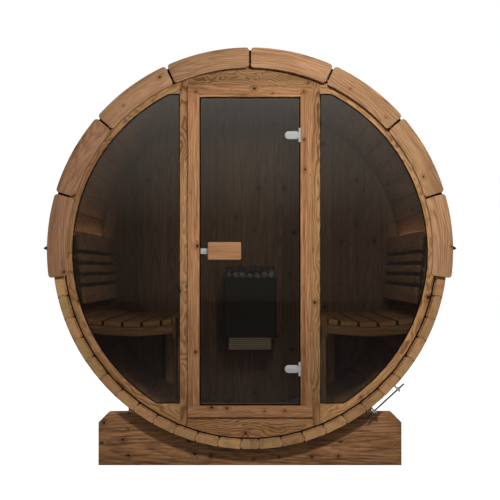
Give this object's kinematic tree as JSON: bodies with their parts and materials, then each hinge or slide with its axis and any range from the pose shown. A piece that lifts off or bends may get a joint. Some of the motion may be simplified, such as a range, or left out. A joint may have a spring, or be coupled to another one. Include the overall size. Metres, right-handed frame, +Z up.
{
  "type": "barrel sauna",
  "caption": "Barrel sauna of wooden staves on saddle cradles, with a glazed front wall, a hinged glass door, a shingled upper half, side benches, backrests and a wall heater.",
  "frame": {"origin": "on the ground, under the middle of the barrel", "axes": "+Z up, the glazed front and its door face -Y, +X to the right seen from the front; the barrel's axis runs along Y"},
  "size_m": [2.0774, 1.6, 2.1088],
  "materials": {
    "stave_wood": "planed softwood staves, clear oiled, satin",
    "end_wall_wood": "planed softwood boards, clear oiled, satin",
    "frame_wood": "knotty planed softwood, clear oiled, satin",
    "fascia_wood": "curved planed boards with eased edges, clear oiled, satin",
    "cradle_wood": "thick planed softwood, brown preservative, matt",
    "bench_wood": "smooth untreated slats, matt",
    "lining_wood": "tongue and groove boards, matt",
    "handle_wood": "sanded light wood, matt",
    "tinted_glass": "bronze tinted toughened glass, polished",
    "stainless_steel": "satin stainless steel",
    "band_steel": "stainless band, dull",
    "roof_shingle": "mineral surfaced bitumen shingles, matt",
    "roof_felt": "black bitumen felt, matt",
    "drip_edge": "black coated steel, satin",
    "heater_casing": "dark grey powder coat, matt",
    "heater_steel": "brushed stainless sheet",
    "heater_stone": "rough broken stone, matt",
    "light_profile": "warm white light strip behind a diffuser"
  },
  "bodies": {
    "cabin": {"cradle_front": "cradle_wood", "cradle_rear": "cradle_wood", "staves_bottom": "stave_wood", "staves_lower_left": "stave_wood", "staves_lower_right": "stave_wood", "staves_upper_left": "stave_wood", "staves_upper_right": "stave_wood", "staves_top": "stave_wood", "band_front": "band_steel", "band_rear": "band_steel", "band_tensioners": "stainless_steel", "wall_header": "end_wall_wood", "wall_base": "end_wall_wood", "wall_posts": "end_wall_wood", "wall_ring_left": "end_wall_wood", "wall_ring_right": "end_wall_wood", "window_glass_left": "tinted_glass", "window_glass_right": "tinted_glass", "door_jamb_left": "frame_wood", "door_jamb_right": "frame_wood", "door_head": "frame_wood", "door_sill": "frame_wood", "door_hinge_posts": "stainless_steel", "rear_wall": "lining_wood", "roof_shingles_left": "roof_shingle", "roof_shingles_right": "roof_shingle", "ridge_cap": "roof_shingle", "eave_strips": "drip_edge", "verge_felt": "roof_felt", "fascia_front": "fascia_wood", "fascia_rear": "fascia_wood", "bench_slats_left": "bench_wood", "bench_slats_right": "bench_wood", "bench_frame_left": "bench_wood", "bench_frame_right": "bench_wood", "backrest_slats_left": "bench_wood", "backrest_slats_right": "bench_wood", "backrest_rails": "bench_wood", "light_strips": "light_profile", "heater_body": "heater_casing", "heater_base": "heater_steel", "heater_stones": "heater_stone"},
    "door": {"door_glass": "tinted_glass", "door_handle_plate": "stainless_steel", "door_handle_outside": "handle_wood", "door_handle_inside": "handle_wood", "door_hinge_leaves": "stainless_steel"}
  },
  "joints": [
    {"name": "door_hinge", "type": "hinge", "parent": "cabin", "child": "door", "pos_m": [0.252, -0.7175, 1.0855], "axis": [0, 0, 1], "range_deg": [0, 110]}
  ]
}
